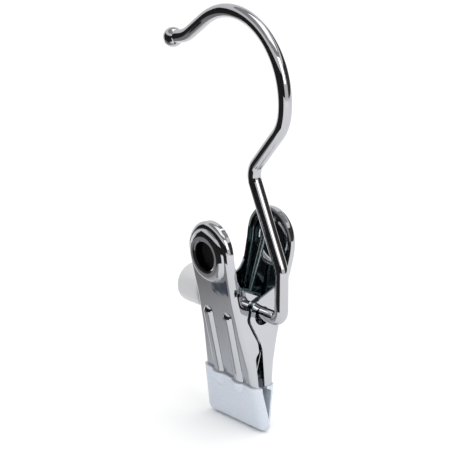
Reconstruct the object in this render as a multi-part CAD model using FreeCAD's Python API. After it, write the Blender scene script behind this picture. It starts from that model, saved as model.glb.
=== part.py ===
import FreeCAD, Part
import math
import os

# Hanging clip hook: a bent wire hook whose lower end is the axle of a sprung two-jaw clip.
# Millimetres. Drawn with the axle on X, then moved so the rail seat in the hook is the origin.

V = FreeCAD.Vector

# Hook wire
WIRE_R = 1.75
CROWN_X = -3.5
CROWN_Z = 55.2
CROWN_R = 20.23
CROWN_IN_DEG = 125.0
CROWN_OUT_DEG = -5.0
SHOULDER_R = 10.5
SHOULDER_OUT_DEG = -41.8
TIP_X = -28.3
TIP_Z = 65.2
TIP_KNEE = (-22.6, 66.52, 11.0)
NECK_KNEE = (4.08, 36.21, 4.6)
LEG_KNEE = (15.9, 12.9, 5.0)
LEG_X = 15.9
HEEL_R = 2.7
AXLE_END_X = -19.4
BALL_R = 2.6
BALL_BORE = 1.6

# End cap
CAP_R = 5.3
CAP_NEAR_X = -12.0
CAP_FAR_X = -20.6
CAP_LIFT = 1.4
CAP_EDGE_R = 0.7

# Jaw sheet. Faces are (height of the outer face, z); sides are (half width, z, radius).
SHEET = 0.8
FRONT_FACE = [(11.9, 26.0), (11.1, 14.5), (3.85, -19.0), (1.7, -30.0)]
BACK_FACE = [(11.7, 26.0), (11.0, 13.6), (3.5, -14.0), (1.1, -30.0)]
FRONT_SIDE = [(8.2, 14.0, 20.0), (7.7, 4.0, 20.0), (8.2, -5.0, 20.0), (10.2, -19.3, 25.0)]
BACK_SIDE = [(8.8, 14.0, 25.0), (8.4, 2.0, 15.0), (8.7, -7.0, 15.0), (10.0, -19.3, 25.0)]
FRONT_TIP_W = 11.3
BACK_TIP_W = 10.6
JAW_TIP_Z = -30.6
TIP_CORNER_R = 1.6
TAB_CENTRE_Z = 15.8
RIDGE_R = 1.5
BEND_R = 25.0

# Ears and pivot. Edges are (y, z, radius), drawn on the back side.
EAR_GAP = 0.15
PIVOT_R = 2.45
PIVOT_DROP = 0.65
EAR_EDGE = [
    (8.9, 27.0, 0.0),
    (9.1, 16.0, 20.0),
    (7.7, 9.6, 4.0),
    (5.8, 6.7, 3.0),
    (-3.1, 2.7, 1.8),
    (-4.1, -1.3, 2.0),
    (-0.9, -7.6, 4.0),
]
FRONT_LOW_EDGE = [(2.7, -11.4, 2.0), (2.5, -20.4, 8.0), (0.2, -31.5, 0.0)]
BACK_LOW_EDGE = [(-0.4, -9.4, 2.0), (-0.4, -19.4, 0.4), (1.8, -20.4, 0.6), (0.2, -31.5, 0.0)]

# Stiffening beads
BEAD_X = 3.9
BEAD_HALF_W = 1.8
BEAD_RISE = 1.0
BEAD_TOP_Z = -1.2
BEAD_LOW_Z = -19.8

# Thumb cup in its raised eye
EYE_Z = 15.4
EYE_Y = 10.52
EYE_TILT = 4.9
EYE_HOLE_R = 3.9
EYE_LIP_R = 3.6
EYE_CREST_R = 5.2
EYE_BASE_R = 7.2
EYE_RISE = 1.6
EYE_LIP_DROP = 0.35
CUP_DEPTH = 1.5
CUP_FLOOR = 0.5
CUP_WALL = 0.7

# Slot in the side of the front jaw
SLOT_Y = 8.1
SLOT_Z = 6.7
SLOT_W = 0.9
SLOT_H = 2.0

# Grip pads
FRONT_PAD_T = 0.65
BACK_PAD_T = 0.4
PAD_TOP_Z = -18.3
PAD_TOP_SLANT = 0.09
MID_GAP = 0.02

# Spring
SPRING_R = 3.7
SPRING_WIRE_R = 0.65
SPRING_PITCH = 1.36
SPRING_TURNS = 4
SPRING_X0 = -0.95
LEG_GAP = 0.05
LEG_TIP = (9.38, 16.3)
LEG_WRAP_DEG = 100.0


def unit(ax, az, bx, bz):
    length = math.hypot(bx - ax, bz - az)
    return (bx - ax) / length, (bz - az) / length


def corner_points(before, corner, after, radius):
    """Start, middle and end of an arc that rounds one corner of a flat outline."""
    ux, uz = unit(corner[0], corner[1], before[0], before[1])
    vx, vz = unit(corner[0], corner[1], after[0], after[1])
    half = math.acos(max(-1.0, min(1.0, ux * vx + uz * vz))) / 2.0
    cut = radius / math.tan(half)
    bx, bz = unit(0.0, 0.0, ux + vx, uz + vz)
    reach = radius / math.sin(half) - radius
    start = (corner[0] + ux * cut, corner[1] + uz * cut)
    middle = (corner[0] + bx * reach, corner[1] + bz * reach)
    end = (corner[0] + vx * cut, corner[1] + vz * cut)
    return start, middle, end


def rounded_wire(points, place):
    """Closed wire through (a, b, radius) points, with each corner rounded by its radius."""
    count = len(points)
    stretches = []
    for i in range(count):
        before = points[i - 1]
        corner = points[i]
        after = points[(i + 1) % count]
        if corner[2] > 0.0:
            stretches.append(corner_points(before, corner, after, corner[2]))
        else:
            stretches.append((corner, None, corner))
    edges = []
    for i in range(count):
        start, middle, end = stretches[i]
        if middle is not None:
            edges.append(Part.Arc(place(start), place(middle), place(end)).toShape())
        following = stretches[(i + 1) % count][0]
        if math.hypot(end[0] - following[0], end[1] - following[1]) > 1e-6:
            edges.append(Part.LineSegment(place(end), place(following)).toShape())
    return Part.Wire(edges)


def side_slab(points):
    """Solid 40 mm wide in X from an outline in Y and Z."""
    wire = rounded_wire(points, lambda p: V(-20.0, p[0], p[1]))
    return Part.Face(wire).extrude(V(40.0, 0.0, 0.0))


def front_slab(points):
    """Solid 40 mm deep in Y from an outline in X and Z."""
    wire = rounded_wire(points, lambda p: V(p[0], -20.0, p[1]))
    return Part.Face(wire).extrude(V(0.0, 40.0, 0.0))


def height_at(face, z):
    """Height of a jaw's outer face above the middle plane."""
    for upper, lower in zip(face, face[1:]):
        if z >= lower[1]:
            break
    return lower[0] + (upper[0] - lower[0]) * (z - lower[1]) / (upper[1] - lower[1])


def envelope(face, sides, tip_w, inset, low_z):
    """Block inside the jaw's outer skin, drawn in by an inset, with rounded ridges."""
    side = [
        (-14.0, 30.0, 0.0),
        (height_at(face, 30.0) - inset, 30.0, 0.0),
        (face[1][0] - inset, face[1][1], BEND_R),
        (face[2][0] - inset, face[2][1], BEND_R),
        (height_at(face, low_z) - inset, low_z, 0.0),
        (-14.0, low_z, 0.0),
    ]
    top = sides[0][0] - inset
    tip = tip_w - inset + 0.06 * (JAW_TIP_Z - low_z)
    corner = TIP_CORNER_R - inset
    if low_z < -33.0:
        corner = 0.0
    right = [(top, 30.0, 0.0)]
    for width, z, radius in sides:
        right.append((width - inset, z, radius))
    right.append((tip, low_z, corner))
    left = []
    for width, z, radius in reversed(right):
        left.append((-width, z, radius))
    block = side_slab(side).common(front_slab(right + left))
    barrel = Part.makeCylinder(top, 40.0, V(0, -20, TAB_CENTRE_Z), V(0, 1, 0))
    skirt = Part.makeBox(40.0, 40.0, 60.0, V(-20.0, -20.0, TAB_CENTRE_Z - 60.0))
    block = block.common(barrel.fuse(skirt).removeSplitter())
    ridges = []
    for edge in block.Edges:
        tall = edge.BoundBox.ZLength > 0.2
        mid = edge.valueAt((edge.FirstParameter + edge.LastParameter) / 2.0)
        on_face = abs(mid.y - (height_at(face, mid.z) - inset)) < 0.3
        if tall and on_face:
            ridges.append(edge)
    return block.makeFillet(max(RIDGE_R - inset, 0.3), ridges)


def bead(face, side, grow):
    """One embossed bead along the face, grown or shrunk by an offset."""
    radius = (BEAD_HALF_W ** 2 + BEAD_RISE ** 2) / (2.0 * BEAD_RISE)
    depth = radius - BEAD_RISE
    fy, fz = unit(face[2][0], face[2][1], face[1][0], face[1][1])
    top = V(side * BEAD_X, height_at(face, BEAD_TOP_Z) - depth * fz, BEAD_TOP_Z + depth * fy)
    low = V(side * BEAD_X, height_at(face, BEAD_LOW_Z) - depth * fz, BEAD_LOW_Z + depth * fy)
    axis = low.sub(top)
    rod = Part.makeCylinder(radius + grow, axis.Length, top, axis)
    rod = rod.fuse(Part.makeSphere(radius + grow, top))
    return rod.fuse(Part.makeSphere(radius + grow, low)).removeSplitter()


def eye(drop):
    """Rounded ring round the thumb cup, as a turned block lowered by a drop."""
    base = V(EYE_BASE_R - drop * 0.9, -0.1 - drop, 0)
    crest = V(EYE_CREST_R - drop * 0.3, EYE_RISE - drop, 0)
    lip = V(EYE_LIP_R, EYE_RISE - EYE_LIP_DROP - drop, 0)
    foot = V(base.x, -3.0, 0)
    middle = V(0, -3.0, 0)
    top = V(0, lip.y, 0)
    floor = Part.LineSegment(middle, foot).toShape()
    wall = Part.LineSegment(foot, base).toShape()
    ring = Part.Arc(base, crest, lip).toShape()
    plate = Part.LineSegment(lip, top).toShape()
    axis = Part.LineSegment(top, middle).toShape()
    face = Part.Face(Part.Wire([floor, wall, ring, plate, axis]))
    turned = face.revolve(V(0, 0, 0), V(0, 1, 0), 360.0)
    turned.rotate(V(0, 0, 0), V(1, 0, 0), -EYE_TILT)
    turned.translate(V(0, EYE_Y, EYE_Z))
    return turned


def cup(grow, depth):
    """Round space sunk into the eye from its rim, down to a depth."""
    lean = math.radians(EYE_TILT)
    axis = V(0.0, math.cos(lean), -math.sin(lean))
    lift = EYE_RISE - depth
    start = V(0.0, EYE_Y + lift * axis.y, EYE_Z + lift * axis.z)
    return Part.makeCylinder(EYE_HOLE_R + grow, 12.0, start, axis)


def trim(edge, step_in):
    """Everything on the outer side of the flange edges and the ears."""
    points = []
    for y, z, radius in EAR_EDGE + edge:
        points.append((y - step_in, z, radius))
    return side_slab(points + [(18.0, -33.5, 0.0), (18.0, 27.0, 0.0)])


def pivot_hole():
    return Part.makeCylinder(PIVOT_R, 40.0, V(-20.0, 0.0, -PIVOT_DROP), V(1, 0, 0))


def jaw_skin(face, sides, tip_w, edge):
    """Pressed sheet with beads and thumb eye, trimmed to a flange line."""
    outer = envelope(face, sides, tip_w, 0.0, JAW_TIP_Z)
    inner = envelope(face, sides, tip_w, SHEET, -36.0)
    for side in (-1, 1):
        outer = outer.fuse(bead(face, side, 0.0))
        inner = inner.fuse(bead(face, side, -SHEET))
    outer = outer.fuse(eye(0.0)).cut(cup(0.0, CUP_DEPTH))
    inner = inner.fuse(eye(SHEET)).cut(cup(CUP_WALL, CUP_DEPTH + CUP_FLOOR))
    return outer.cut(inner).common(trim(edge, 0.0))


def side_layer(points, x_low, x_high):
    """Matching slabs on both sides between two distances from the middle."""
    wire = rounded_wire(points, lambda p: V(x_low, p[0], p[1]))
    near = Part.Face(wire).extrude(V(x_high - x_low, 0.0, 0.0))
    return near.fuse(near.mirror(V(0, 0, 0), V(1, 0, 0)))


def back_jaw():
    return jaw_skin(BACK_FACE, BACK_SIDE, BACK_TIP_W, BACK_LOW_EDGE).cut(pivot_hole())


def front_jaw():
    """Drawn on the same side as the back jaw, then turned to face it."""
    skin = jaw_skin(FRONT_FACE, FRONT_SIDE, FRONT_TIP_W, FRONT_LOW_EDGE)
    outer_x = BACK_SIDE[1][0] - SHEET - EAR_GAP
    inner_x = outer_x - SHEET
    pocket = [
        (-12.0, 9.5, 0.0),
        (6.5, 9.5, 0.0),
        (6.5, 4.0, 0.0),
        (6.0, 2.9, 1.2),
        (3.7, 1.1, 0.8),
        (4.8, -1.2, 2.2),
        (1.5, -7.7, 4.0),
        (1.4, -12.0, 0.0),
        (-12.0, -12.0, 0.0),
    ]
    plate = [
        (7.9, 9.9, 0.0),
        (6.6, 7.9, 0.0),
        (5.8, 6.7, 3.0),
        (-3.1, 2.7, 1.8),
        (-4.1, -1.3, 2.0),
        (-0.9, -7.6, 4.0),
        (2.6, -9.8, 0.0),
        (6.3, -4.6, 3.0),
        (5.2, 0.9, 2.0),
        (7.4, 2.4, 2.0),
    ]
    joggle = side_layer(plate, inner_x, 12.0)
    joggle = joggle.common(envelope(FRONT_FACE, FRONT_SIDE, FRONT_TIP_W, 0.0, JAW_TIP_Z))
    inside = side_layer(plate, inner_x, outer_x)
    body = skin.fuse(joggle).fuse(inside).cut(side_layer(pocket, outer_x, 12.0))
    slot = Part.makeBox(4.0, SLOT_W, SLOT_H, V(6.0, SLOT_Y - SLOT_W / 2, SLOT_Z - SLOT_H / 2))
    body = body.cut(pivot_hole()).cut(slot)
    return body.removeSplitter().mirror(V(0, 0, 0), V(0, 1, 0))


def grip(jaw, face, sides, tip_w, edge, thick):
    """Dipped sleeve over one jaw's tip, drawn on the back side."""
    outer = envelope(face, sides, tip_w, -thick, JAW_TIP_Z - thick)
    for side in (-1, 1):
        outer = outer.fuse(bead(face, side, thick))
    tilt = 16.0 * PAD_TOP_SLANT
    dip = front_slab([
        (-16.0, PAD_TOP_Z + tilt, 0.0),
        (16.0, PAD_TOP_Z - tilt, 0.0),
        (16.0, -34.0, 0.0),
        (-16.0, -34.0, 0.0),
    ])
    half = Part.makeBox(40.0, 20.0, 40.0, V(-20.0, MID_GAP, -40.0))
    hollow = envelope(face, sides, tip_w, SHEET + thick, -36.0)
    sleeve = outer.common(dip).common(half).common(trim(edge, thick)).cut(hollow)
    return sleeve.cut(jaw)


def rod(start, end, radius):
    axis = end.sub(start)
    return Part.makeCylinder(radius, axis.Length, start, axis)


def bend(start, middle, end, radius):
    """Round bar along an arc given by three points."""
    centre = Part.Arc(start, middle, end).toShape().Curve.Center
    spin = start.sub(centre).cross(middle.sub(centre))
    spin.normalize()
    first = start.sub(centre)
    last = end.sub(centre)
    sweep = math.atan2(first.cross(last).dot(spin), first.dot(last))
    disc = Part.Face(Part.Wire(Part.makeCircle(radius, start, spin.cross(first))))
    return disc.revolve(centre, spin, math.degrees(sweep) % 360.0)


def on_ring(cx, cz, radius, degrees):
    angle = math.radians(degrees)
    return (cx + radius * math.cos(angle), cz + radius * math.sin(angle))


def xz(point):
    return V(point[0], 0.0, point[1])


def hook_wire():
    crown_in = on_ring(CROWN_X, CROWN_Z, CROWN_R, CROWN_IN_DEG)
    crown_top = on_ring(CROWN_X, CROWN_Z, CROWN_R, 60.0)
    crown_out = on_ring(CROWN_X, CROWN_Z, CROWN_R, CROWN_OUT_DEG)
    back = CROWN_R - SHOULDER_R
    centre = on_ring(CROWN_X, CROWN_Z, back, CROWN_OUT_DEG)
    mid_deg = (CROWN_OUT_DEG + SHOULDER_OUT_DEG) / 2.0
    shoulder_mid = on_ring(centre[0], centre[1], SHOULDER_R, mid_deg)
    shoulder_out = on_ring(centre[0], centre[1], SHOULDER_R, SHOULDER_OUT_DEG)
    run = unit(TIP_X, TIP_Z, TIP_KNEE[0], TIP_KNEE[1])
    seat = (TIP_X - BALL_BORE * run[0], TIP_Z - BALL_BORE * run[1])
    knees = [
        corner_points(seat, TIP_KNEE, crown_in, TIP_KNEE[2]),
        (crown_in, crown_top, crown_out),
        (crown_out, shoulder_mid, shoulder_out),
        corner_points(shoulder_out, NECK_KNEE, LEG_KNEE, NECK_KNEE[2]),
        corner_points(NECK_KNEE, LEG_KNEE, (LEG_X, 0.0), LEG_KNEE[2]),
        corner_points(LEG_KNEE, (LEG_X, 0.0), (AXLE_END_X, 0.0), HEEL_R),
    ]
    path = []
    at = seat
    for start, middle, end in knees:
        if math.hypot(start[0] - at[0], start[1] - at[1]) > 1e-6:
            path.append(Part.LineSegment(xz(at), xz(start)).toShape())
        path.append(Part.Arc(xz(start), xz(middle), xz(end)).toShape())
        at = end
    path.append(Part.LineSegment(xz(at), V(AXLE_END_X, 0, 0)).toShape())
    ring = Part.Wire(Part.makeCircle(WIRE_R, xz(seat), V(run[0], 0, run[1])))
    return Part.Wire(path).makePipeShell([ring], True, False)


def tip_ball():
    run = unit(TIP_X, TIP_Z, TIP_KNEE[0], TIP_KNEE[1])
    seat = V(TIP_X - BALL_BORE * run[0], 0.0, TIP_Z - BALL_BORE * run[1])
    ball = Part.makeSphere(BALL_R, V(TIP_X, 0.0, TIP_Z))
    bore = Part.makeCylinder(WIRE_R, 10.0, seat, V(run[0], 0.0, run[1]))
    return ball.cut(bore)


def end_cap():
    length = CAP_NEAR_X - CAP_FAR_X
    body = Part.makeCylinder(CAP_R, length, V(CAP_FAR_X, 0, CAP_LIFT), V(1, 0, 0))
    rims = []
    for edge in body.Edges:
        if edge.BoundBox.XLength < 0.01:
            rims.append(edge)
    body = body.makeFillet(CAP_EDGE_R, rims)
    bore = Part.makeCylinder(WIRE_R, length, V(AXLE_END_X, 0, 0), V(1, 0, 0))
    return body.cut(bore)


def spring_coil():
    height = SPRING_PITCH * SPRING_TURNS
    helix = Part.makeHelix(SPRING_PITCH, height, SPRING_R)
    start = helix.Edges[0].valueAt(helix.Edges[0].FirstParameter)
    tangent = helix.Edges[0].tangentAt(helix.Edges[0].FirstParameter)
    ring = Part.Wire(Part.makeCircle(SPRING_WIRE_R, start, tangent))
    coil = Part.Wire(helix.Edges).makePipeShell([ring], True, True)
    coil.rotate(V(0, 0, 0), V(0, 1, 0), 90.0)
    coil.translate(V(SPRING_X0, 0, 0))
    return coil


def spring_leg(x, side):
    """Last part-turn of the spring and the arm it throws out along one tab."""
    reach = math.hypot(LEG_TIP[0], LEG_TIP[1])
    lift = math.atan2(LEG_TIP[1], LEG_TIP[0]) - math.acos(SPRING_R / reach)
    points = []
    for degrees in (-LEG_WRAP_DEG, -LEG_WRAP_DEG / 2.0, 0.0):
        angle = lift + math.radians(degrees)
        points.append(V(x, side * SPRING_R * math.cos(angle), SPRING_R * math.sin(angle)))
    turn = bend(points[0], points[1], points[2], SPRING_WIRE_R)
    tip = V(x, side * LEG_TIP[0], LEG_TIP[1])
    arm = rod(points[2], tip, SPRING_WIRE_R)
    return turn.fuse(arm).removeSplitter()


def main():
    os.makedirs("parts", exist_ok=True)
    back = back_jaw()
    front = front_jaw()
    back_grip = grip(back, BACK_FACE, BACK_SIDE, BACK_TIP_W, BACK_LOW_EDGE, BACK_PAD_T)
    turned = front.mirror(V(0, 0, 0), V(0, 1, 0))
    front_grip = grip(turned, FRONT_FACE, FRONT_SIDE, FRONT_TIP_W, FRONT_LOW_EDGE, FRONT_PAD_T)
    front_grip = front_grip.mirror(V(0, 0, 0), V(0, 1, 0))
    coil_low = SPRING_X0 - SPRING_WIRE_R
    coil_high = SPRING_X0 + SPRING_PITCH * SPRING_TURNS + SPRING_WIRE_R
    step = LEG_GAP + SPRING_WIRE_R
    nodes = {
        "hook_wire": hook_wire(),
        "tip_ball": tip_ball(),
        "end_cap": end_cap(),
        "front_jaw": front,
        "back_jaw": back,
        "front_grip": front_grip,
        "back_grip": back_grip,
        "spring_coil": spring_coil(),
        "spring_front_arm": spring_leg(coil_high + step, -1),
        "spring_back_arm": spring_leg(coil_low - step, 1),
    }
    seat = V(-CROWN_X, 0.0, -(CROWN_Z + CROWN_R - WIRE_R))
    for name, shape in nodes.items():
        shape.translate(seat)
        shape.exportStep("parts/" + name + ".step")
        box = shape.BoundBox
        print(name, shape.ShapeType, "solids", len(shape.Solids), "valid", shape.isValid(),
              "vol %.1f" % shape.Volume, "x %.2f %.2f" % (box.XMin, box.XMax),
              "y %.2f %.2f" % (box.YMin, box.YMax), "z %.2f %.2f" % (box.ZMin, box.ZMax))


main()
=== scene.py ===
import math

import bpy
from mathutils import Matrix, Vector


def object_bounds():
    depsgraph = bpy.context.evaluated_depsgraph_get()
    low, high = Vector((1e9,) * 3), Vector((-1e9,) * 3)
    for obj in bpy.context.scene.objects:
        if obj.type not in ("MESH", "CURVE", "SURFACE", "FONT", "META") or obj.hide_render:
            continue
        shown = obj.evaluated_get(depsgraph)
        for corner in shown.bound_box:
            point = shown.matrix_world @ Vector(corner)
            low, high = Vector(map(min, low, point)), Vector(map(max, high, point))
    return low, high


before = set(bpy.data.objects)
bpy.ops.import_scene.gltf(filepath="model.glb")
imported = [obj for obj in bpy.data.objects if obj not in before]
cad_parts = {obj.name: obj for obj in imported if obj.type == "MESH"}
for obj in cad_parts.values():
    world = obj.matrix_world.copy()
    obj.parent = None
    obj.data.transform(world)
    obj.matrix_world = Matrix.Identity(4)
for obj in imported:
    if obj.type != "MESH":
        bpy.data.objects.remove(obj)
cad_low, cad_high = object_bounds()

MM = 0.001

# The middle of the clip's axle. Heights on the clip are measured from it.
AXLE = Vector((3.5, 0.0, -73.68)) * MM

# The thumb cup that is sunk in each jaw's tab. Its painted black shade runs outwards along the cup's
# axis.
EYE_AT = AXLE + Vector((0.0, 10.52, 15.4)) * MM
EYE_TILT = math.radians(4.9)
CUP_R = 4.0 * MM
CUP_SHADE_FROM = -0.2 * MM
CUP_SHADE_TO = 1.18 * MM
CUP_EDGE_SOFT = 0.1 * MM

# Each jaw's outer face, as (distance from the middle plane, height above the axle) in mm, downwards.
FRONT_FACE = ((11.1, 14.5), (3.85, -19.0), (1.7, -30.6))
BACK_FACE = ((11.0, 13.6), (3.5, -14.0), (1.1, -30.6))
TAB_FACE = 11.0 * MM
TAB_CENTRE_Z = 15.8 * MM

# Half the width between each jaw's flanges. Lower down it grows, by FLARE for each unit of height.
FRONT_HALF_WIDTH = 6.0 * MM
BACK_HALF_WIDTH = 8.2 * MM
FLARE = 0.122
FLARE_STEP = 0.9 * MM

# How far under the outer face the inner skin begins.
SKIN_DEPTH = 0.45 * MM
SKIN_EDGE_SOFT = 0.2 * MM


# ---------------------------------------------------------------- camera

AZIMUTH = 51.5
ELEVATION = 16.5
DISTANCE = 0.5297
ASIDE = -1.69 * MM
ABOVE = 17.9 * MM
SENSOR_WIDTH = 36.0
FOCAL_LENGTH = 158.63


def add_camera():
    a = math.radians(AZIMUTH)
    e = math.radians(ELEVATION)
    back = Vector((math.sin(a) * math.cos(e), -math.cos(a) * math.cos(e), math.sin(e)))
    right = Vector((math.cos(a), math.sin(a), 0.0))
    up = back.cross(right)
    data = bpy.data.cameras.new("camera")
    data.sensor_width = SENSOR_WIDTH
    data.lens = FOCAL_LENGTH
    data.clip_start = 0.01
    data.clip_end = 50.0
    cam = bpy.data.objects.new("camera", data)
    bpy.context.scene.collection.objects.link(cam)
    cam.location = AXLE + back * DISTANCE + right * ASIDE + up * ABOVE
    cam.rotation_mode = "QUATERNION"
    cam.rotation_quaternion = (-back).to_track_quat("-Z", "Y")
    bpy.context.scene.camera = cam


# ---------------------------------------------------------------- node helpers

def fresh_material(name):
    mat = bpy.data.materials.new(name)
    mat.use_nodes = True
    tree = mat.node_tree
    tree.nodes.clear()
    out = tree.nodes.new("ShaderNodeOutputMaterial")
    shader = tree.nodes.new("ShaderNodeBsdfPrincipled")
    tree.links.new(shader.outputs["BSDF"], out.inputs["Surface"])
    return mat, tree, shader


def noise(tree, coord, scale, detail=3.0, rough=0.5, stretch=None):
    node = tree.nodes.new("ShaderNodeTexNoise")
    node.inputs["Scale"].default_value = scale
    node.inputs["Detail"].default_value = detail
    node.inputs["Roughness"].default_value = rough
    if stretch is None:
        tree.links.new(coord, node.inputs["Vector"])
    else:
        mapping = tree.nodes.new("ShaderNodeMapping")
        mapping.inputs["Scale"].default_value = stretch
        tree.links.new(coord, mapping.inputs["Vector"])
        tree.links.new(mapping.outputs["Vector"], node.inputs["Vector"])
    return node.outputs["Fac"]


def map_range(tree, value, start, end, low=0.0, high=1.0, smooth=False):
    node = tree.nodes.new("ShaderNodeMapRange")
    if smooth:
        node.interpolation_type = "SMOOTHSTEP"
    node.inputs["From Min"].default_value = start
    node.inputs["From Max"].default_value = end
    node.inputs["To Min"].default_value = low
    node.inputs["To Max"].default_value = high
    tree.links.new(value, node.inputs["Value"])
    return node.outputs["Result"]


def spread(tree, value, low, high):
    """Noise, which stays near 0.5, stretched over the range from low to high."""
    return map_range(tree, value, 0.3, 0.7, low, high)


def blend_colours(tree, value, first, second):
    node = tree.nodes.new("ShaderNodeMix")
    node.data_type = "RGBA"
    node.inputs["A"].default_value = (*first, 1.0)
    node.inputs["B"].default_value = (*second, 1.0)
    tree.links.new(value, node.inputs["Factor"])
    return node.outputs["Result"]


def mix_sockets(tree, value, first, second):
    node = tree.nodes.new("ShaderNodeMix")
    node.data_type = "RGBA"
    tree.links.new(first, node.inputs["A"])
    tree.links.new(second, node.inputs["B"])
    tree.links.new(value, node.inputs["Factor"])
    return node.outputs["Result"]


def bump(tree, shader, layers):
    """layers: (height socket, strength, distance in metres)"""
    normal = None
    for height, strength, distance in layers:
        node = tree.nodes.new("ShaderNodeBump")
        node.inputs["Strength"].default_value = strength
        node.inputs["Distance"].default_value = distance
        tree.links.new(height, node.inputs["Height"])
        if normal is not None:
            tree.links.new(normal, node.inputs["Normal"])
        normal = node.outputs["Normal"]
    tree.links.new(normal, shader.inputs["Normal"])


def object_coord(tree):
    return tree.nodes.new("ShaderNodeTexCoord").outputs["Object"]


def calc(tree, operation, first, second=0.0):
    """One Math node; each side is a socket or a number."""
    node = tree.nodes.new("ShaderNodeMath")
    node.operation = operation
    for slot, value in enumerate((first, second)):
        if isinstance(value, (int, float)):
            node.inputs[slot].default_value = value
        else:
            tree.links.new(value, node.inputs[slot])
    return node.outputs["Value"]


def step_at(tree, value, edge, soft):
    """0 below the edge and 1 above it, over a soft width."""
    return map_range(tree, value, edge - soft / 2.0, edge + soft / 2.0, smooth=True)


def product(tree, *masks):
    result = masks[0]
    for mask in masks[1:]:
        result = calc(tree, "MULTIPLY", result, mask)
    return result


def length_of(tree, first, second):
    """Length of the two socket values taken as sides at right angles."""
    squares = (calc(tree, "MULTIPLY", side, side) for side in (first, second))
    return calc(tree, "SQRT", calc(tree, "ADD", *squares))


# ---------------------------------------------------------------- materials

CLOUD_SCALE = 120.0
GRAIN_SCALE = 900.0
WAVE_SCALE = 160.0


def cloud_and_grain(tree, coord, streak):
    """Slow change of colour over the plating, and its fine polish marks, stretched by streak."""
    cloud = noise(tree, coord, CLOUD_SCALE, 4.0)
    grain = noise(tree, coord, GRAIN_SCALE, 5.0, 0.6, streak)
    return cloud, grain


def ripple(tree, shader, coord, grain, wave):
    """Slow waves of the metal, wave metres high, with the grain a fiftieth as high on them."""
    slow = noise(tree, coord, WAVE_SCALE, 2.0)
    bump(tree, shader, [(slow, 1.0, wave), (grain, 0.5, wave * 0.02)])


def chrome(name, light, dark, roughness, wave, streak):
    mat, tree, shader = fresh_material(name)
    coord = object_coord(tree)
    cloud, grain = cloud_and_grain(tree, coord, streak)
    tree.links.new(blend_colours(tree, cloud, dark, light), shader.inputs["Base Color"])
    shader.inputs["Metallic"].default_value = 1.0
    tree.links.new(spread(tree, grain, *roughness), shader.inputs["Roughness"])
    ripple(tree, shader, coord, grain, wave)
    return mat


def plastic(name, light, dark, roughness, grain):
    mat, tree, shader = fresh_material(name)
    coord = object_coord(tree)
    cloud = noise(tree, coord, 90.0, 3.0)
    tree.links.new(blend_colours(tree, cloud, dark, light), shader.inputs["Base Color"])
    skin = noise(tree, coord, 2200.0, 4.0)
    tree.links.new(spread(tree, skin, roughness - 0.06, roughness + 0.06), shader.inputs["Roughness"])
    shader.inputs["IOR"].default_value = 1.5
    shader.inputs["Subsurface Weight"].default_value = 0.08
    shader.inputs["Subsurface Scale"].default_value = 1.0 * MM
    bump(tree, shader, [(cloud, 0.4, 0.03 * MM), (skin, 0.5, grain)])
    return mat


def split_coord(tree, coord):
    split = tree.nodes.new("ShaderNodeSeparateXYZ")
    tree.links.new(coord, split.inputs["Vector"])
    return split.outputs["X"], split.outputs["Y"], split.outputs["Z"]


def face_distance(tree, up, face):
    """How far a jaw's outer face lies from the middle plane, at a height above the axle.

    The tab stands more upright, so its face is never taken as further out than TAB_FACE.
    """
    stretches = []
    for (top_y, top_z), (low_y, low_z) in zip(face, face[1:]):
        slope = (top_y - low_y) / (top_z - low_z)
        level = (top_y - slope * top_z) * MM
        stretches.append(calc(tree, "ADD", calc(tree, "MULTIPLY", up, slope), level))
    return calc(tree, "MINIMUM", calc(tree, "MAXIMUM", *stretches), TAB_FACE)


def inner_mask(tree, coord, half_width, face):
    """1 on a jaw's inner skin, 0 on its outer skin."""
    x, y, z = split_coord(tree, coord)
    across = calc(tree, "ABSOLUTE", calc(tree, "SUBTRACT", x, AXLE.x))
    away = calc(tree, "ABSOLUTE", y)
    up = calc(tree, "SUBTRACT", z, AXLE.z)
    depth = calc(tree, "SUBTRACT", face_distance(tree, up, face), away)
    under_face = step_at(tree, depth, SKIN_DEPTH, SKIN_EDGE_SOFT)
    flared = calc(tree, "SUBTRACT", half_width - FLARE_STEP, calc(tree, "MULTIPLY", up, FLARE))
    width = calc(tree, "MAXIMUM", flared, half_width)
    over = calc(tree, "MAXIMUM", calc(tree, "SUBTRACT", up, TAB_CENTRE_Z), 0.0)
    room = calc(tree, "SUBTRACT", width, length_of(tree, across, over))
    between_flanges = step_at(tree, room, 0.0, SKIN_EDGE_SOFT)
    return product(tree, under_face, between_flanges)


def cup_painted_shade_mask(tree, coord):
    """1 in the part of the sunk thumb cup of either jaw that gets painted black shade."""
    x, y, z = split_coord(tree, coord)
    across = calc(tree, "SUBTRACT", x, AXLE.x)
    away = calc(tree, "SUBTRACT", calc(tree, "ABSOLUTE", y), EYE_AT.y)
    up = calc(tree, "SUBTRACT", z, EYE_AT.z)
    cos_tilt = math.cos(EYE_TILT)
    sin_tilt = math.sin(EYE_TILT)
    away_cos = calc(tree, "MULTIPLY", away, cos_tilt)
    away_sin = calc(tree, "MULTIPLY", away, sin_tilt)
    along = calc(tree, "SUBTRACT", away_cos, calc(tree, "MULTIPLY", up, sin_tilt))
    rise = calc(tree, "ADD", away_sin, calc(tree, "MULTIPLY", up, cos_tilt))
    room = calc(tree, "SUBTRACT", CUP_R, length_of(tree, across, rise))
    near = step_at(tree, room, 0.0, CUP_EDGE_SOFT)
    short_of_lip = calc(tree, "SUBTRACT", CUP_SHADE_TO, along)
    below = step_at(tree, short_of_lip, 0.0, CUP_EDGE_SOFT)
    above = step_at(tree, along, CUP_SHADE_FROM, CUP_EDGE_SOFT)
    return product(tree, near, below, above)


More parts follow.
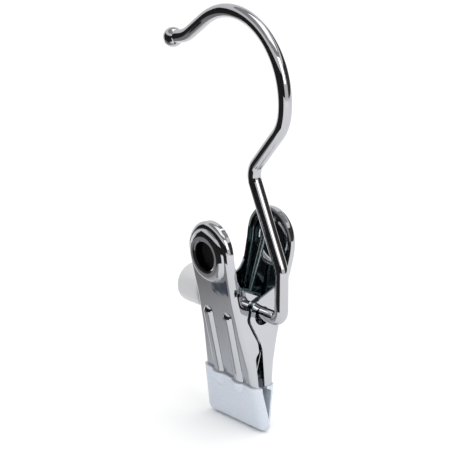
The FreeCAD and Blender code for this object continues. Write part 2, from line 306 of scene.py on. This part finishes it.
def jaw_chrome(name, half_width, face):
    """Plated sheet: mirror outside, rougher inside with painted dark shade, painted black shade in the
    thumb cup.
    """
    mat, tree, shader = fresh_material(name)
    coord = object_coord(tree)
    cloud, grain = cloud_and_grain(tree, coord, (1, 1, 0.15))
    patches = noise(tree, coord, 260.0, 2.0)
    plate = blend_colours(tree, cloud, (0.46, 0.475, 0.50), (0.56, 0.57, 0.595))
    # Painted shade: the inner skin between the flanges is darkened to dark teal, standing in for the
    # shade inside the jaws.
    painted_inner_shade = blend_colours(tree, patches, (0.030, 0.045, 0.050), (0.22, 0.30, 0.32))
    # Painted shade: black inside the thumb cup, standing in for the dark seen in the recess.
    black = blend_colours(tree, patches, (0.008, 0.008, 0.009), (0.020, 0.018, 0.018))
    # Where the painted inner shade goes; the same mask also makes the inner skin rougher.
    inner = inner_mask(tree, coord, half_width, face)
    # Where the cup's painted black shade goes; the same mask also makes the cup rougher.
    cup = cup_painted_shade_mask(tree, coord)
    tone = mix_sockets(tree, inner, plate, painted_inner_shade)
    tone = mix_sockets(tree, cup, tone, black)
    tree.links.new(tone, shader.inputs["Base Color"])
    shader.inputs["Metallic"].default_value = 1.0
    rough = calc(tree, "ADD", spread(tree, grain, 0.03, 0.08), calc(tree, "MULTIPLY", inner, 0.06))
    rough = calc(tree, "ADD", rough, calc(tree, "MULTIPLY", cup, 0.25))
    tree.links.new(rough, shader.inputs["Roughness"])
    ripple(tree, shader, coord, grain, 0.04 * MM)
    return mat


wire_mat = chrome(
    "wire_chrome",
    light=(0.53, 0.53, 0.555),
    dark=(0.47, 0.475, 0.50),
    roughness=(0.02, 0.06),
    wave=0.02 * MM,
    streak=(1, 1, 0.2),
)
front_mat = jaw_chrome("sheet_chrome_front", FRONT_HALF_WIDTH, FRONT_FACE)
back_mat = jaw_chrome("sheet_chrome_back", BACK_HALF_WIDTH, BACK_FACE)
spring_mat = chrome(
    "spring_steel",
    light=(0.42, 0.50, 0.52),
    dark=(0.28, 0.34, 0.36),
    roughness=(0.14, 0.26),
    wave=0.02 * MM,
    streak=(0.3, 1, 1),
)
cap_mat = plastic(
    "cap_plastic",
    light=(0.62, 0.625, 0.64),
    dark=(0.57, 0.58, 0.595),
    roughness=0.34,
    grain=0.003 * MM,
)
grip_mat = plastic(
    "grip_vinyl",
    light=(0.61, 0.655, 0.725),
    dark=(0.575, 0.62, 0.69),
    roughness=0.24,
    grain=0.0012 * MM,
)

FINISH = {
    "hook_wire": wire_mat,
    "tip_ball": wire_mat,
    "end_cap": cap_mat,
    "front_jaw": front_mat,
    "back_jaw": back_mat,
    "front_grip": grip_mat,
    "back_grip": grip_mat,
    "spring_coil": spring_mat,
    "spring_front_arm": spring_mat,
    "spring_back_arm": spring_mat,
}


for node_name, node_mat in FINISH.items():
    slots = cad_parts[node_name].data.materials
    slots.clear()
    slots.append(node_mat)


# ---------------------------------------------------------------- stage and light

FLOOR_HALF = 6.0
FLOOR_GAP = 0.2 * MM
CARD_LIFT = 0.5 * MM
OVER_CARD = 0.2 * MM
ROOM_R = 1.6
DRUM_HEIGHT = 0.75
SIDE_HEIGHT = 1.1
CEILING_R = 1.3
CEILING_Z = 1.25
CARD_STEPS = 24

# The slate card on the floor, in mm from the axle.
SLATE_PATCH = (
    (-51.8, -37.1),
    (-44.6, -37.1),
    (-48.6, -45.0),
    (-53.2, -45.0),
    (-52.5, -40.8),
    (-56.5, -40.5),
)


def sheet_object(name, points, faces, mat):
    mesh = bpy.data.meshes.new(name)
    mesh.from_pydata(points, [], faces)
    mesh.update()
    obj = bpy.data.objects.new(name, mesh)
    bpy.context.scene.collection.objects.link(obj)
    mesh.materials.append(mat)
    return obj


def flat_sheet(name, corners, mat):
    return sheet_object(name, corners, [list(range(len(corners)))], mat)


def only_reflected(obj):
    """Studio card that shows in the chrome and nowhere else."""
    obj.visible_camera = False
    obj.visible_diffuse = False
    obj.visible_shadow = False
    obj.visible_transmission = False


def arc_points(radius, az_from, az_to, z):
    """Points round the axle at one height; azimuths are measured like the camera's."""
    points = []
    for i in range(CARD_STEPS + 1):
        a = math.radians(az_from + (az_to - az_from) * i / CARD_STEPS)
        at = AXLE + Vector((math.sin(a), -math.cos(a), 0.0)) * radius
        points.append((at.x, at.y, z))
    return points


def level_card(name, r_in, r_out, az_from, az_to, z, mat):
    """Level card between two radii round the axle."""
    inner = arc_points(r_in, az_from, az_to, z)
    outer = arc_points(r_out, az_from, az_to, z)
    only_reflected(flat_sheet(name, inner + outer[::-1], mat))


def standing_card(name, az_from, az_to, low, high, mat):
    """Curved upright card, a part of a drum round the clip."""
    points = []
    for pair in zip(arc_points(ROOM_R, az_from, az_to, low), arc_points(ROOM_R, az_from, az_to, high)):
        points.extend(pair)
    faces = [(2 * i, 2 * i + 2, 2 * i + 3, 2 * i + 1) for i in range(CARD_STEPS)]
    only_reflected(sheet_object(name, points, faces, mat))


def matte_material(name):
    mat, tree, shader = fresh_material(name)
    shader.inputs["Roughness"].default_value = 0.9
    shader.inputs["Specular IOR Level"].default_value = 0.0
    return mat, tree, shader


def card_material(name, light, dark):
    mat, tree, shader = matte_material(name)
    grain = noise(tree, object_coord(tree), 40.0, 3.0)
    tree.links.new(blend_colours(tree, grain, dark, light), shader.inputs["Base Color"])
    return mat


def graded_card(name):
    """Grey card that darkens with distance from the clip."""
    mat, tree, shader = matte_material(name)
    away = tree.nodes.new("ShaderNodeVectorMath")
    away.operation = "DISTANCE"
    away.inputs[1].default_value = (AXLE.x, AXLE.y, cad_low.z)
    tree.links.new(object_coord(tree), away.inputs[0])
    shade = map_range(tree, away.outputs["Value"], 24.0 * MM, 75.0 * MM)
    tone = blend_colours(tree, shade, (0.60, 0.61, 0.63), (0.24, 0.23, 0.23))
    tree.links.new(tone, shader.inputs["Base Color"])
    return mat


def add_stage():
    white = card_material("floor_white", (0.93, 0.93, 0.93), (0.92, 0.92, 0.92))
    black = card_material("card_black", (0.030, 0.028, 0.028), (0.018, 0.018, 0.020))
    slate = card_material("card_slate", (0.085, 0.100, 0.125), (0.060, 0.070, 0.090))
    grey = card_material("card_grey", (0.36, 0.35, 0.35), (0.30, 0.29, 0.29))
    brown = card_material("card_brown", (0.085, 0.075, 0.072), (0.055, 0.050, 0.048))
    ceiling = card_material("card_ceiling", (0.50, 0.49, 0.49), (0.34, 0.33, 0.33))
    graded = graded_card("card_graded")

    floor_z = cad_low.z - FLOOR_GAP
    card_z = floor_z + CARD_LIFT
    over_z = card_z + OVER_CARD
    square = ((-1, -1), (1, -1), (1, 1), (-1, 1))
    flat_sheet("floor", [(x * FLOOR_HALF, y * FLOOR_HALF, floor_z) for x, y in square], white)
    level_card("card_tab", 0.012, 0.19, -84.0, -22.0, card_z, graded)
    level_card("card_ridge", 0.022, 0.095, -22.0, -6.0, card_z, grey)
    level_card("card_leg", 0.095, ROOM_R, -44.0, 30.0, over_z, black)
    level_card("card_crown", 0.19, ROOM_R, -68.0, -44.0, card_z, black)
    standing_card("card_drum", -72.0, 58.0, floor_z, floor_z + DRUM_HEIGHT, black)
    standing_card("card_side", 112.0, 205.0, floor_z, floor_z + SIDE_HEIGHT, brown)
    level_card("card_ceiling", 0.0, CEILING_R, 0.0, 360.0, CEILING_Z, ceiling)
    patch = [(AXLE.x + x * MM, AXLE.y + y * MM, over_z) for x, y in SLATE_PATCH]
    only_reflected(flat_sheet("card_patch", patch, slate))


LIGHTS_LOOK_AT = Vector((0.0, 0.0, -0.05))
SKY_SIDE = 0.80
SKY_TOP = 0.95


def area_light(name, at, size_x, size_y, watts):
    data = bpy.data.lights.new(name, "AREA")
    data.shape = "RECTANGLE"
    data.size = size_x
    data.size_y = size_y
    data.energy = watts
    obj = bpy.data.objects.new(name, data)
    bpy.context.scene.collection.objects.link(obj)
    obj.location = at
    obj.rotation_mode = "QUATERNION"
    obj.rotation_quaternion = (LIGHTS_LOOK_AT - Vector(at)).to_track_quat("-Z", "Y")


def add_world():
    """Pale studio light from all round, a little brighter overhead."""
    world = bpy.data.worlds.new("studio")
    world.use_nodes = True
    tree = world.node_tree
    tree.nodes.clear()
    out = tree.nodes.new("ShaderNodeOutputWorld")
    sky = tree.nodes.new("ShaderNodeBackground")
    tree.links.new(sky.outputs["Background"], out.inputs["Surface"])
    coord = tree.nodes.new("ShaderNodeTexCoord")
    height = split_coord(tree, coord.outputs["Generated"])[2]
    level = map_range(tree, height, 0.0, 0.9, SKY_SIDE, SKY_TOP, smooth=True)
    tree.links.new(level, sky.inputs["Color"])
    sky.inputs["Strength"].default_value = 1.0
    bpy.context.scene.world = world


add_camera()
add_stage()
add_world()
area_light("overhead", at=(0.1, 0.2, 0.9), size_x=0.9, size_y=0.7, watts=3.2)
area_light("softbox", at=(0.75, -0.12, 0.42), size_x=0.35, size_y=0.5, watts=1.6)

scene = bpy.context.scene
scene.view_settings.view_transform = "Standard"
scene.view_settings.look = "None"
scene.view_settings.exposure = 0.0
